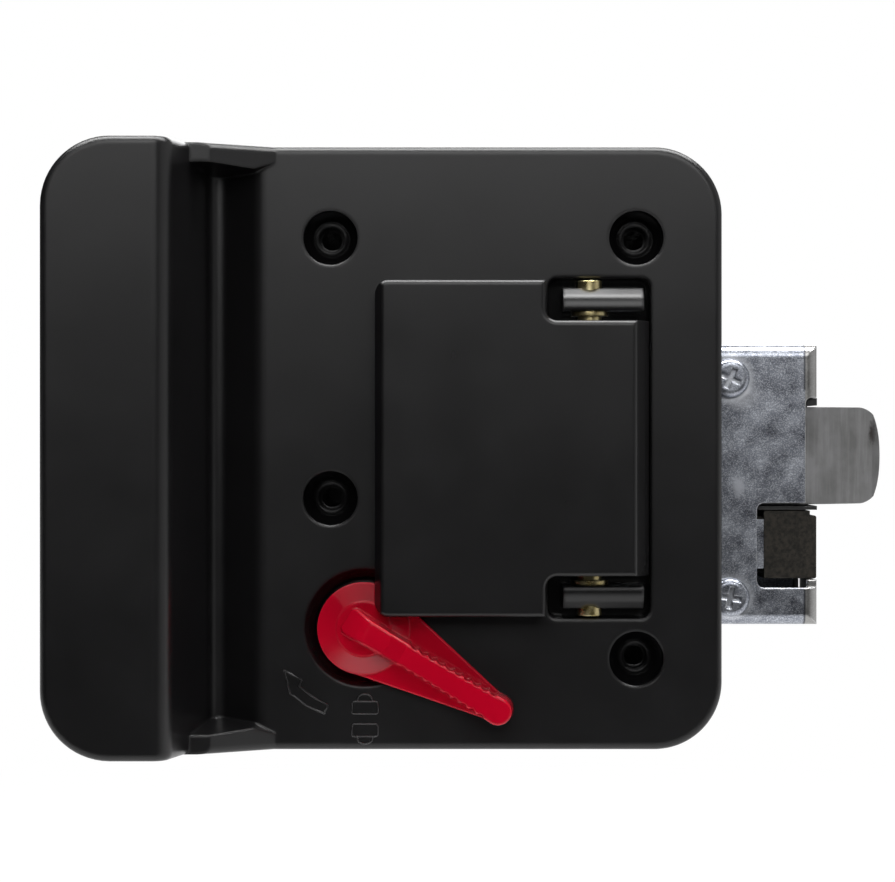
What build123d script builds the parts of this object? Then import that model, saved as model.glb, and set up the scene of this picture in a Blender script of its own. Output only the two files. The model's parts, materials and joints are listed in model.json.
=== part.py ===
from build123d import *
import math
import os

# Door lock for a travel trailer. Millimetres. The camera side is the inside of the door.
# +X runs to the door edge, +Y into the door, +Z up. The origin is the centre of the
# door cut-out on the inner skin, where the inner bezel lies against the door.

# Door and cut-out
doorThickness = 38.0
cutoutWidth = 69.85
cutoutHeight = 95.25
edgeDistance = 69.3
screwX = 30.6
screwZ = 42.1
screwLowLeftZ = -10.0
slideY = 19.0

# Inner bezel
bezelLeft = -85.8
bezelRight = 47.8
bezelHeight = 120.7
bezelCorner = 13.5
plateHeight = 9.0
gripHeight = 30.5
bezelWall = 2.5
bezelEdge = 1.4
gussetThickness = 5.9
gussetDraft = 9.0
gussetEnd = -37.0
gripShoulder = -61.2
gripRoll = 4.0
grooveFootX = -54.6
grooveFoot = 2.4
grooveFloor = 2.6
grooveLipX = -44.8
grooveLip = 5.0
gussetRampX = -62.0
gussetTopX = -54.0
gussetLowX = -41.6
gussetHeight = 17.3
gussetRoot = 4.0
counterboreRadius = 5.45
counterboreDepth = 4.0
wellDepth = 6.6
wellRingRadius = 3.35
wellRingDepth = 5.3
screwHoleRadius = 2.5
bossWall = 1.8

# Paddle and its hinge
hingeX = 21.3
hingeY = -8.0
hingePinRadius = 2.4
runningFit = 0.05
pinFit = 0.02
paddleLeft = -21.6
paddleRight = 33.0
paddleFlat = 30.0
paddleSlant = 12.9
paddleSide = 10.5
paddleHeight = 66.6
paddleFace = 17.0
paddleRim = 13.2
paddleWall = 2.6
paddleCorner = 2.8
notchX = 12.2
notchDepth = 8.0
windowLeft = 12.9
windowHeight = 68.0
windowGap = 0.4
windowEdge = 0.5
windowLedge = 2.2
pocketDepth = 6.6
lugInner = 27.4
lugThickness = 4.6
lugRise = 4.6
lugShoulder = 2.7
lugCrown = 3.0
lugLeft = 15.9
lugRight = 31.9
pinShow = 1.5
collarRadius = 3.7
collarThickness = 0.9
earThickness = 5.0
earRadius = 5.0
armWidth = 5.4
armThickness = 3.0
armTipRadius = 2.2
innerArmZ = 1.6
outerArmZ = 7.8

# Lever
leverX = -23.9
leverZ = -35.9
leverAngle = 31.0
leverReach = 31.1
leverTipRadius = 2.7
leverDiscRadius = 9.2
leverDiscRim = 11.9
leverBossRadius = 5.7
leverBossFace = 13.0
leverStemRadius = 3.5
leverRecessRadius = 11.9
leverRecessDepth = 4.0
leverWebFace = 11.2
leverWebThickness = 1.5
leverRibFace = 17.6
leverRibDraft = 4.5
leverRibWaist = 2.25
leverRibEnd = 2.6
leverRibStart = -3.6
leverRampFoot = 14.0
leverRampTop = 0.2
leverRampRoll = 3.0
leverEdge = 0.5
scallopPitch = 2.0
scallopCount = 10
scallopRadius = 1.1
scallopDepth = 0.35
leverTravel = 90.0
crankRadius = 8.9
crankPinRadius = 1.5
crankThickness = 2.5
crankFace = 7.6
tailSquare = 3.0
tailFit = 0.1

# Latch case
caseLeft = 26.0
caseTop = 21.3
caseBottom = -36.5
caseFace = 9.0
caseDepth = 20.0
sheet = 1.5
highTabLength = 10.9
lowTabLength = 9.2
throatX = 66.8
windowX = 56.7
bendRadius = 2.4
spacerX = 51.1
spacerTopZ = 14.4
spacerLowZ = -30.8
spacerRadius = 3.2
screwHeadRadius = 4.0
screwHeadHeight = 2.2

# Latch bolt and slide
latchTop = 8.5
latchBottom = -11.7
latchNose = 82.1
latchRear = 50.0
latchCorner = 3.5
latchCrown = 60.0
slideGap = 0.5
slideThickness = 3.0
slideTop = 7.0
yokeGap = 0.5
yokeWall = 2.5
yokeReach = 4.4
tabX = 3.6
tabWidth = 3.0
tabTop = 26.0
springRadius = 3.4
springWire = 0.9
springZ = -7.0
bevelStart = 3.3
bevelArch = 1.3
bevelTip = 2.2
latchPinX = 5.0
latchPinZ = 3.0

# Deadbolt and link
deadTop = -13.0
deadBottom = -27.0
deadRear = 58.4
deadTail = 44.0
rivetShares = (0.24, 0.70)
linkFace = 11.5
linkThickness = 2.0
linkTop = -14.8
linkBottom = -25.0
linkNose = 4.4
forkGap = 0.6
forkWall = 2.4
forkEnd = -33.3

# Outer housing, handle and key cylinders
gasketThickness = 1.0
flangeThickness = 3.0
postRadius = 4.2
postHoleRadius = 2.0
postHoleDepth = 25.0
postGap = 0.4
outerHingeOut = 4.5
outerPinRadius = 2.4
outerBarrelRadius = 4.2
outerHandleHeight = 40.0
outerHandleLeft = -21.0
outerHandleThickness = 3.2
outerHandleRise = 12.5
outerLugThickness = 4.6
cupLeft = -22.0
cupRight = 2.0
cupHeight = 34.0
cupDepth = 9.0
cupWall = 2.0
keyX = 0.0
keyZ = 33.0
cylinderRadius = 9.0
plugRadius = 6.5
cylinderFront = 2.5
cylinderBack = 12.5
housingBossWall = 1.5
camThickness = 2.6
camLength = 9.5
camWidth = 6.0
camY = 21.2

plateY = -plateHeight
caseBack = caseFace + caseDepth
flangeBack = doorThickness + gasketThickness
flangeFace = flangeBack + flangeThickness
outerHingeY = flangeFace + outerHingeOut
bezelWidth = bezelRight - bezelLeft
bezelMidX = (bezelLeft + bezelRight) / 2
halfBezel = bezelHeight / 2
innerArm = slideY - hingeY
outerArm = outerHingeY - slideY
windowRight = paddleRight + windowGap
boltFace = caseFace + sheet + slideGap
boltBack = caseBack - sheet - 1.0 - 0.3
screwSpots = [(-screwX, screwZ), (screwX, screwZ), (screwX, -screwZ), (-screwX, screwLowLeftZ)]


def block(x0, x1, y0, y1, z0, z1):
    return Pos((x0 + x1) / 2, (y0 + y1) / 2, (z0 + z1) / 2) * Box(x1 - x0, y1 - y0, z1 - z0)


def rodY(x, z, radius, y0, y1):
    return Pos(x, (y0 + y1) / 2, z) * Rot(90, 0, 0) * Cylinder(radius, y1 - y0)


def rodZ(x, y, radius, z0, z1):
    return Pos(x, y, (z0 + z1) / 2) * Cylinder(radius, z1 - z0)


def rodX(y, z, radius, x0, x1):
    return Pos((x0 + x1) / 2, y, z) * Rot(0, 90, 0) * Cylinder(radius, x1 - x0)


def coneY(x, z, rFront, rBack, yFront, yBack):
    # Rot(-90) turns the cone's top, its second radius, to +Y
    return Pos(x, (yFront + yBack) / 2, z) * Rot(-90, 0, 0) * Cone(rFront, rBack, yBack - yFront)


def slabY(sketch, yFront, yBack):
    # a sketch drawn in X and Z, given thickness from the front level to the back level
    return extrude(Plane.XZ.offset(-yBack) * sketch, amount=yBack - yFront)


def slabZ(sketch, z0, z1):
    return extrude(Plane.XY.offset(z0) * sketch, amount=z1 - z0)


def slabX(sketch, x0, x1):
    return extrude(Plane.YZ.offset(x0) * sketch, amount=x1 - x0)


def polygon(*points):
    return make_face(Polyline(*points, close=True))


def roundedBox(x0, x1, z0, z1, radius):
    return Pos((x0 + x1) / 2, (z0 + z1) / 2) * RectangleRounded(x1 - x0, z1 - z0, radius)


def edgesNear(shape, test):
    return ShapeList([e for e in shape.edges() if test(e.center(), e)])


# Inner bezel: plate, raised pull grip with its finger groove, screw wells, hinge lugs


def gripSection(backY):
    # plateau, the wall that falls into the groove, then the slope that rises to the plate
    return make_face(FilletPolyline(
        (bezelLeft, backY), (bezelLeft, -gripHeight), (gripShoulder, -gripHeight),
        (grooveFootX, -grooveFloor), (grooveLipX, plateY), (bezelRight, plateY), (bezelRight, backY),
        radius=[0, 0, gripRoll, grooveFoot, grooveLip, 0, 0], close=True))


def gusset(side):
    # end wall of the groove: a ramp from the grip's wall down to the plate, drafted on
    # its inner face and cut slantwise toward the rim where it runs out
    inner = halfBezel - gussetThickness
    ramp = polygon((gussetRampX, -gussetRoot), (gussetRampX, -gussetHeight), (gussetTopX, -gussetHeight),
                   (gussetLowX, plateY), (gussetEnd, -gussetRoot))
    beyond = halfBezel + 6
    plan = polygon(
        (gussetRampX - 4, inner), (grooveLipX - 0.7, inner), (gussetEnd + 0.5, halfBezel - 1.8),
        (gussetEnd + 2.0, beyond), (gussetRampX - 4, beyond))
    tall = gussetHeight - gussetRoot + 2
    wedge = extrude(Plane.XZ.offset(gussetRoot) * plan, amount=tall, taper=gussetDraft)
    shape = slabZ(ramp, inner - 1, halfBezel) & wedge
    middle = (gussetTopX + gussetLowX) / 2
    edge = edgesNear(shape, lambda c, e: abs(c.Z) > halfBezel - 0.01 and abs(c.X - middle) < 0.1)
    shape = fillet(edge, bezelEdge)
    return shape if side > 0 else mirror(shape, about=Plane.XY)


def leverSeat(shape):
    # conical well for the lever's disc, with a sleeve that carries its stem
    wellFloor = plateY + leverRecessDepth
    shape += rodY(leverX, leverZ, leverRecessRadius + bossWall, plateY + 1, wellFloor + 2.5)
    shape += rodY(leverX, leverZ, leverStemRadius + 2.6, wellFloor, 0)
    shape -= coneY(leverX, leverZ, leverRecessRadius, 9.4, plateY, wellFloor)
    shape -= rodY(leverX, leverZ, leverStemRadius + runningFit, plateY, 1)
    return shape


def hingeLug(side):
    # bar beside the paddle that carries the pin; its top slopes away from the paddle
    high = lugInner + lugThickness
    top = hingeY - lugRise
    section = make_face(FilletPolyline(
        (-1.0, lugInner), (top, lugInner), (top + 0.3, lugInner + 2.4), (top + lugShoulder, high),
        (-1.0, high), radius=[0, 0.7, lugCrown, 0.6, 0], close=True))
    shape = slabX(section, lugLeft, lugRight)
    return shape if side > 0 else mirror(shape, about=Plane.XY)


def screwWell(shape, x, z):
    # straight at the mouth, conical below, with a low ring round the hole
    floor = plateY + wellDepth
    mouth = plateY + counterboreDepth
    shape -= rodY(x, z, counterboreRadius, plateY - 1, mouth + 0.01)
    shape -= coneY(x, z, counterboreRadius, wellRingRadius, mouth, floor)
    shape += rodY(x, z, wellRingRadius, plateY + wellRingDepth, floor + 0.5)
    return shape - rodY(x, z, screwHoleRadius, plateY, 1)


def makeInnerBezel():
    outline = Pos(bezelMidX, 0) * RectangleRounded(bezelWidth, bezelHeight, bezelCorner)
    shape = slabZ(gripSection(0), -halfBezel, halfBezel) & slabY(outline, -gripHeight - 1, 1)
    shape = fillet(edgesNear(shape, lambda c, e: onRim(e)), bezelEdge)
    shape += gusset(-1) + gusset(1)
    inner = Pos(bezelMidX, 0) * RectangleRounded(
        bezelWidth - 2 * bezelWall, bezelHeight - 2 * bezelWall, bezelCorner - bezelWall)
    # the section starts far behind the door face, so its inset still reaches past it
    behind = 20
    hollow = slabZ(offset(gripSection(behind), -bezelWall), -halfBezel, halfBezel)
    shape -= hollow & slabY(inner, -gripHeight - 1, behind + 1)
    for x, z in screwSpots:
        shape += rodY(x, z, counterboreRadius + bossWall, plateY + 1, -1)
    windowTop = windowHeight / 2
    frame = roundedBox(windowLeft - 2.2, windowRight + 2.2, -windowTop - 2.2, windowTop + 2.2, 3.5)
    shape += slabY(frame, plateY + 1, 0)
    shape = leverSeat(shape)
    pocket = roundedBox(windowLeft, windowRight, -windowTop, windowTop, 2.0)
    shape -= slabY(pocket, plateY - 1, plateY + pocketDepth)
    mouth = edgesNear(shape, lambda c, e: onPocket(c))
    shape = fillet(mouth, windowEdge)
    openTop = lugInner - 1.7
    shape -= block(windowLeft, windowRight - windowLedge, plateY - 1, 1, -openTop, openTop)
    for side in (-1, 1):
        shape += hingeLug(side)
    shape -= rodZ(hingeX, hingeY, hingePinRadius + pinFit, -windowTop + 0.5, windowTop - 0.5)
    for x, z in screwSpots:
        shape = screwWell(shape, x, z)
    return shape


def onPocket(c):
    # on the plate's face along the pocket's outline
    inX = windowLeft - 0.1 < c.X < windowRight + 0.1
    return inX and abs(c.Y - plateY) < 0.01 and abs(c.Z) < windowHeight / 2 + 0.1


def onRim(edge):
    # the outer front edge: it lies on the outline's wall and ahead of the back face
    c = edge.center()
    if c.Y > -5:
        return False
    box = edge.bounding_box()
    if box.size.Y > 15 and box.size.X < 0.1:
        return False
    nearX = min(abs(c.X - bezelLeft), abs(c.X - bezelRight)) < 4.5
    nearZ = halfBezel - abs(c.Z) < 0.05
    corner = nearX and halfBezel - abs(c.Z) < 5.5 and box.size.Y < 0.1
    side = min(abs(c.X - bezelLeft), abs(c.X - bezelRight)) < 0.05 and box.size.Y < 0.1
    return nearZ or corner or side


# Inner paddle: a shell with a lip at its free edge and a rolled hinge edge


def paddleSection(inset):
    # across the hinge: lip at the left, flat face, slanted hinge edge at the right
    face = inset - paddleFace
    if inset:
        return polygon((paddleLeft + 2.4, 0), (paddleLeft + 2.4, face), (paddleFlat - 1.5, face),
                       (paddleRight - 2.6, 1.4 - paddleSlant), (paddleRight - 2.6, 0))
    return polygon((paddleLeft, -paddleSide), (paddleLeft, -paddleRim), (paddleLeft + 1.3, face),
                   (paddleFlat, face), (paddleRight - 0.8, -paddleSlant), (paddleRight, -paddleSide))


def makeInnerPaddle():
    half = paddleHeight / 2
    face = -paddleFace
    outline = roundedBox(paddleLeft, paddleRight, -half, half, paddleCorner)
    notches = Sketch() + [
        roundedBox(notchX, paddleRight + 6, z, z + notchDepth + 6, 2.3)
        for z in (half - notchDepth, -half - 6)
    ]
    shape = slabZ(paddleSection(0), -half, half) & slabY(outline - notches, face - 1, hingeY)
    shape -= block(paddleLeft - 1, notchX + 2, -paddleRim, 0, -half - 1, half + 1)
    rim = edgesNear(shape, lambda c, e: abs(c.Y - face) < 0.01 and e.bounding_box().size.Y < 0.01)
    shape = fillet(rim, 0.9)
    core = paddleSection(paddleWall)
    earTop = half - notchDepth
    shape -= slabZ(core, -half + 2.2, half - 2.2) & block(
        paddleLeft, notchX - 2.2, -60, 1, -half, half)
    shape -= slabZ(core, -earTop + earThickness, earTop - earThickness)
    for z0 in (-earTop, earTop - earThickness):
        shape += rodZ(hingeX, hingeY, earRadius, z0, z0 + earThickness)
    shape += paddleArm(innerArmZ, hingeX, hingeY, slideY)
    shape += block(hingeX - 1.5, hingeX + 1.5, face + 1, hingeY, innerArmZ - 5, innerArmZ + armWidth + 5)
    bore = hingePinRadius + runningFit
    shape -= rodZ(hingeX, hingeY, bore, -half, -earTop + earThickness + 0.1)
    shape -= rodZ(hingeX, hingeY, bore, earTop - earThickness - 0.1, half)
    return shape


def paddleArm(z0, x, pivotY, tipY):
    low, high = sorted((pivotY, tipY))
    arm = block(x - armThickness / 2, x + armThickness / 2, low, high, z0, z0 + armWidth)
    arm += rodZ(x, tipY, armTipRadius, z0, z0 + armWidth)
    return arm


def makeHingePins():
    # two short pins with a collar beside the paddle; the outer end of each is knurled
    earTop = paddleHeight / 2 - notchDepth
    inner = earTop - earThickness - 6
    outerEnd = lugInner + lugThickness + pinShow
    pin = rodZ(hingeX, hingeY, hingePinRadius, inner, outerEnd)
    pin += rodZ(hingeX, hingeY, collarRadius, lugInner - 0.1 - collarThickness, lugInner - 0.1)
    return Compound(children=[pin, mirror(pin, about=Plane.XY)])


def makePaddleSpring():
    # coil body round the lower pin with one leg down to the window's frame
    z1 = -(paddleHeight / 2 - notchDepth - earThickness) + 0.3
    z0 = z1 + 9
    coil = rodZ(hingeX, hingeY, hingePinRadius + 1.5, z1, z0)
    coil += rodY(hingeX + hingePinRadius + 0.9, z0 - 0.6, 0.6, hingeY, -1)
    coil += rodX(-1.0, z0 - 0.6, 0.6, hingeX + hingePinRadius + 0.9, windowRight - windowLedge)
    coil -= rodZ(hingeX, hingeY, hingePinRadius + 0.5, z1 - 1, z0 + 1)
    return coil


# Lever: disc, tapered web, raised rib with scalloped sides


def leverFrame():
    return Pos(leverX, 0, leverZ) * Rot(0, leverAngle, 0)


def taper(r0, r1, length, along):
    # two circles and the lines that touch both
    return make_hull([
        *(Pos(along, 0) * Circle(r0)).edges(), *(Pos(along + length, 0) * Circle(r1)).edges()])


def ribHalfWidth(u):
    # waisted toward the middle of its length
    middle = (leverRibStart + leverReach) / 2
    share = (u - middle) / (leverReach - middle)
    return leverRibWaist + (leverRibEnd - leverRibWaist) * share * share


def leverRib():
    # drafted bar: a ramp at the near end, a round tip, scallops along both sides
    foot = leverWebFace - 0.3
    draft = (leverRibFace - foot) * math.tan(math.radians(leverRibDraft))
    start, end = leverRibStart - draft, leverRibEnd + draft
    middle, waist = (leverRibStart + leverReach) / 2, leverRibWaist + draft
    tip = leverTipRadius + draft
    plan = make_face([
        ThreePointArc((start, end), (middle, waist), (leverReach, tip)),
        ThreePointArc((leverReach, tip), (leverReach + tip, 0), (leverReach, -tip)),
        ThreePointArc((leverReach, -tip), (middle, -waist), (start, -end)),
        Line((start, -end), (start, end)),
    ])
    corners = ShapeList([v for v in plan.vertices() if v.X < 0])
    plan = fillet(corners, 0.9 + draft)
    slope = (leverRibFace - leverRampFoot) / (leverRampTop - leverRibStart)
    low = leverRampFoot - 3 * slope
    side = make_face(FilletPolyline(
        (leverRibStart - 3, -foot + 1), (leverRibStart - 3, -low), (leverRampTop, -leverRibFace),
        (leverReach + 5, -leverRibFace), (leverReach + 5, -foot + 1),
        radius=[0, 0, leverRampRoll, 0, 0], close=True))
    rib = extrude(Plane.XZ.offset(foot) * plan, amount=leverRibFace - foot + 1, taper=leverRibDraft)
    rib = rib & slabZ(side, -6, 6)
    rib = fillet(edgesNear(rib, ribTopEdge), leverEdge)
    for i in range(scallopCount):
        u = leverReach - 2.5 - i * scallopPitch
        z = ribHalfWidth(u) + scallopRadius - scallopDepth
        for side in (-1, 1):
            rib -= rodY(u, side * z, scallopRadius, -leverRibFace - 1, -leverWebFace - 0.05)
    return rib


def ribTopEdge(c, edge):
    # round the face and down both sides of the ramp, but not across or down the sides
    size = edge.bounding_box().size
    upright = size.X < 0.4 and size.Z < 0.4
    across = size.X < 0.01 and c.X > leverRibStart + 1
    return c.Y < -leverWebFace - 1 and not upright and not across


def makeLever():
    webFace = -leverWebFace
    webBack = webFace + leverWebThickness
    floor = plateY + leverRecessDepth
    web = slabY(taper(leverDiscRadius, leverTipRadius, leverReach, 0), webFace, webBack)
    web = fillet(edgesNear(web, lambda c, e: abs(c.Y - webFace) < 0.01), 0.3)
    rim = -leverDiscRim
    disc = coneY(0, 0, leverDiscRadius, leverDiscRadius - 0.6, rim, floor - 0.3)
    disc += coneY(0, 0, leverBossRadius, leverDiscRadius, 0.2 - leverBossFace, rim)
    boss = coneY(0, 0, leverBossRadius - 0.3, leverBossRadius - 0.05, -leverBossFace, rim)
    stem = rodY(0, 0, leverStemRadius, floor - 0.4, crankFace)
    return leverFrame() * (web + disc + boss + leverRib() + stem)


def crankPin():
    # where the crank's pin stands at rest
    half = math.radians(leverTravel / 2)
    return leverX - crankRadius * math.sin(half), leverZ + crankRadius * math.cos(half)


def makeCrank():
    # arm on the stem's end; at rest its pin stands half the lever's travel left of straight up
    back = crankFace + crankThickness
    px, pz = crankPin()
    hull = make_hull([
        *(Pos(leverX, leverZ) * Circle(4.4)).edges(), *(Pos(px, pz) * Circle(2.4)).edges()])
    shape = slabY(hull, crankFace, back)
    shape += rodY(px, pz, crankPinRadius, crankFace, linkFace + linkThickness + 1.5)
    side = tailSquare + 2 * tailFit
    socket = Pos(leverX, crankFace + 1.0 + crankThickness / 2, leverZ) * Box(side, crankThickness, side)
    return shape - socket


def makeLeverClip():
    # split ring in a groove behind the bezel's sleeve
    ring = rodY(leverX, leverZ, leverStemRadius + 2.2, 0.1, 1.0)
    ring -= rodY(leverX, leverZ, leverStemRadius + 0.02, 0, 1.1)
    ring -= block(leverX - 1.2, leverX + 1.2, 0, 1.2, leverZ - 9, leverZ)
    return ring


# Latch case: side plate with rolled flanges and bent end tabs, lid, insert, spacers


def makeCaseSidePlate():
    x1 = edgeDistance
    yIn = caseFace + sheet
    outer = Pos((caseFace + caseBack - sheet) / 2, (caseTop + caseBottom) / 2) * Rectangle(
        caseBack - sheet - caseFace, caseTop - caseBottom)
    shape = slabX(outer, caseLeft, x1)
    # the two long bends and the one down the door edge
    bends = edgesNear(shape, lambda c, e: abs(c.Y - caseFace) < 0.01 and c.X > caseLeft + 1)
    shape = fillet(bends, bendRadius)
    inside = Pos((yIn + caseBack) / 2, (caseTop + caseBottom) / 2) * Rectangle(
        caseBack - yIn, caseTop - caseBottom - 2 * sheet)
    hollow = slabX(inside, caseLeft - 1, x1 - sheet)
    softened = edgesNear(hollow, lambda c, e: abs(c.Y - yIn) < 0.01 and c.X > caseLeft)
    shape -= fillet(softened, bendRadius - sheet)
    lowTab = caseBottom + lowTabLength
    highTab = caseTop - highTabLength
    shape -= block(x1 - sheet - 0.01, x1 + 1, caseFace - 1, caseBack, lowTab, highTab)
    shape -= block(throatX, x1, yIn - 0.1, yIn + bendRadius, lowTab, highTab)
    shape -= slabY(roundedBox(throatX, x1 + 5, lowTab - 1, highTab, 1.2), caseFace - 1, yIn + 0.01)
    windowTop = deadTop + 1.7
    windowLow = deadBottom - 1.9
    shape -= slabY(roundedBox(windowX, x1 + 6, windowLow, windowTop, 1.6), caseFace - 1, yIn + 0.01)
    for z in (spacerTopZ, spacerLowZ):
        shape -= rodY(spacerX, z, 2.05, caseFace - 1, yIn + 1)
    armTop = innerArmZ + armWidth
    shape -= block(caseLeft - 1, caseLeft + 6, caseFace - 1, yIn + 0.01, innerArmZ - 1.6, armTop + 1)
    return shape


def makeCaseBackPlate():
    y0 = caseBack - sheet
    outline = roundedBox(caseLeft, edgeDistance - sheet - 0.2, caseBottom, caseTop, 1.0)
    outline += roundedBox(6, caseLeft + 4, -12.5, -3.5, 3.0)
    outline += roundedBox(13.5, caseLeft + 4, 15.6, caseTop, 2.5)
    shape = slabY(outline, y0, caseBack)
    for x, z in mountSpots():
        shape -= rodY(x, z, 1.9, y0 - 1, caseBack + 1)
    for z in (spacerTopZ, spacerLowZ):
        shape -= rodY(spacerX, z, 1.5, y0 - 1, caseBack + 1)
    return shape


def mountSpots():
    return [(11.0, -8.0), (18.0, 18.4)]


def makeCaseInsert():
    # black guide that wraps the latch bolt and divides it from the deadbolt
    y0 = caseFace + sheet
    y1 = caseBack - sheet
    shape = block(40, edgeDistance, y1 - 1.0, y1, deadTop + 0.2, caseTop - highTabLength - 0.1)
    shape += block(40, edgeDistance, y0, y1, latchTop + 0.3, caseTop - highTabLength - 0.1)
    shape += block(windowX + 0.4, edgeDistance, y0, y1, deadTop + 0.2, latchBottom - 0.3)
    return shape


def makeSpacers():
    y0 = caseFace + sheet
    y1 = caseBack - sheet
    return Compound(children=[
        rodY(spacerX, z, spacerRadius, y0, y1) - rodY(spacerX, z, 1.95, y0 - 1, y0 + 9)
        for z in (spacerTopZ, spacerLowZ)])


def panScrew(x, z, y0, headRadius, headHeight, shankRadius, length, turn=0):
    # domed head toward the inside of the door, with a cross recess
    head = rodY(x, z, headRadius, y0 - headHeight, y0)
    rim = edgesNear(head, lambda c, e: abs(c.Y - (y0 - headHeight)) < 0.01)
    head = fillet(rim, headHeight * 0.6)
    head += rodY(x, z, shankRadius, y0, y0 + length)
    arm = headRadius * 0.55
    for w, h in ((arm, 0.55), (0.55, arm)):
        slot = block(-w, w, y0 - headHeight - 1, y0 - headHeight * 0.35, -h, h)
        head -= Pos(x, 0, z) * Rot(0, turn, 0) * slot
    return head


def makeCaseScrews():
    return Compound(children=[
        panScrew(spacerX, z, caseFace, screwHeadRadius, screwHeadHeight, 1.9, 9.0, turn)
        for z, turn in ((spacerTopZ, 25), (spacerLowZ, 10))])


def makeMountScrews():
    y0 = caseBack - sheet
    return Compound(children=[panScrew(x, z, y0, 3.0, 1.8, 1.8, 8.0) for x, z in mountSpots()])


# Latch bolt, slide and spring


def makeLatchBolt():
    head = roundedBox(latchRear, latchNose, latchBottom, latchTop, latchCorner)
    head &= Pos(latchNose - latchCrown, (latchTop + latchBottom) / 2) * Circle(latchCrown)
    square = roundedBox(latchRear, latchNose - 12, latchBottom, latchTop, 0.6)
    shape = slabY(head + square, boltFace, boltBack)
    # the bevel faces the inside of the door and is slightly arched
    start, end = edgeDistance - bevelStart, latchNose + 0.01
    tip, far = boltBack - bevelTip, latchNose + 5
    middle = ((start + end) / 2, (boltFace + tip) / 2 - bevelArch)
    bevel = make_face([
        ThreePointArc((start, boltFace - 0.01), middle, (end, tip)),
        Line((end, tip), (far, tip)),
        Line((far, tip), (far, boltFace - 0.01)),
        Line((far, boltFace - 0.01), (start, boltFace - 0.01)),
    ])
    shape -= slabZ(bevel, latchBottom - 1, latchTop + 1)
    y0 = slideY - slideThickness / 2 - 0.05
    y1 = slideY + slideThickness / 2 + 0.05
    shape -= block(latchRear - 1, latchRear + 9, y0, y1, -1.6, slideTop + 0.1)
    shape -= rodX(slideY, springZ, springRadius + 0.35, latchRear - 1, latchRear + 7)
    shape -= rodY(latchRear + latchPinX, latchPinZ, 1.25, boltFace - 1, boltBack + 1)
    return shape


def makeLatchSlide():
    # bar from the bolt's tail to a yoke that both paddle arms push
    y0 = slideY - slideThickness / 2
    y1 = slideY + slideThickness / 2
    gap = armTipRadius + yokeGap
    outX = hingeX + gap
    inX = hingeX - gap
    low = innerArmZ - 2.6
    high = outerArmZ + armWidth + 0.8
    deep0 = slideY - yokeReach
    deep1 = slideY + yokeReach
    shape = block(inX - yokeWall, outX + yokeWall, deep0, deep1, low, innerArmZ - 0.4)
    shape += block(outX, outX + yokeWall, deep0, deep1, low, high)
    shape += block(inX - yokeWall, inX, deep0, deep1, low, high)
    shape += block(outX, latchRear + 9, y0, y1, -1.5, slideTop)
    shape += block(tabX, inX, y0, y1, 8.0, 13.0)
    shape += block(tabX, tabX + tabWidth, y0, camY + camThickness + 0.4, 8.0, tabTop)
    shape -= rodY(latchRear + latchPinX, latchPinZ, 1.25, y0 - 1, y1 + 1)
    return shape


def makeLatchPin():
    return rodY(latchRear + latchPinX, latchPinZ, 1.22, boltFace + 0.1, boltBack - 0.1)


def makeLatchSpring():
    x0 = caseLeft + 1.7
    x1 = latchRear + 7
    coil = rodX(slideY, springZ, springRadius, x0, x1)
    return coil - rodX(slideY, springZ, springRadius - springWire, x0 - 1, x1 + 1)


def makeSpringStop():
    # bent wall across the case's open end; the spring pushes against it
    x0 = caseLeft
    shape = block(x0, x0 + sheet, caseFace + sheet, caseBack - sheet, springZ - 5.5, springZ + 4.8)
    shape += rodX(slideY, springZ, springRadius - springWire - 0.2, x0 + sheet, x0 + 8)
    return shape


# Deadbolt and its link


def rivetSpots():
    length = deadRear - deadTail
    return [deadTail + share * length for share in rivetShares]


def makeDeadbolt():
    shape = block(deadRear, edgeDistance, boltFace, boltBack, deadBottom, deadTop)
    shape -= block(edgeDistance - 1.4, edgeDistance + 1, boltFace - 1, boltBack + 1,
                   deadTop - 1.0, deadTop + 1)
    linkBack = linkFace + linkThickness + 0.1
    shape += block(deadTail, deadRear, linkBack, boltBack, deadBottom + 1.2, deadTop - 1.2)
    corners = edgesNear(shape, lambda c, e: abs(c.X - edgeDistance) < 0.01)
    shape = fillet(corners, 0.5)
    shape -= block(deadRear - 0.5, deadRear + linkNose + 0.2, linkFace - 0.1, linkBack,
                   linkBottom - 0.2, linkTop + 0.2)
    for x in rivetSpots():
        shape -= rodY(x, (deadTop + deadBottom) / 2, 1.25, 0, linkFace + linkThickness + 6)
    return shape


def makeDeadboltLink():
    y0 = linkFace
    y1 = linkFace + linkThickness
    px = crankPin()[0]
    gap = crankPinRadius + forkGap
    bar = roundedBox(px - gap - forkWall, deadRear + linkNose, linkBottom, linkTop, 1.5)
    fork = roundedBox(px - gap - forkWall, px + gap + forkWall, forkEnd, linkTop, 1.0)
    slotTop = leverZ + crankRadius + crankPinRadius + forkGap
    slot = roundedBox(px - gap, px + gap, forkEnd - 4, slotTop, 2.0)
    shape = slabY(bar + fork - slot, y0, y1)
    for x in rivetSpots():
        shape -= rodY(x, (deadTop + deadBottom) / 2, 1.25, y0 - 1, y1 + 1)
    return shape


def makeDeadboltRivets():
    z = (deadTop + deadBottom) / 2
    y0 = linkFace
    return Compound(children=[
        rodY(x, z, 1.22, y0, y0 + linkThickness + 5.5) + rodY(x, z, 2.2, y0 - 0.45, y0)
        for x in rivetSpots()])


# Outer side: housing, gasket, handle, key cylinders


def outerOutline(inset=0):
    return Pos(bezelMidX, 0) * RectangleRounded(
        bezelWidth - 2 * inset, bezelHeight - 2 * inset, bezelCorner - inset)


def makeGasket():
    ring = outerOutline(2.0) - Rectangle(cutoutWidth + 4, cutoutHeight + 4)
    return slabY(ring, doorThickness, flangeBack)


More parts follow.
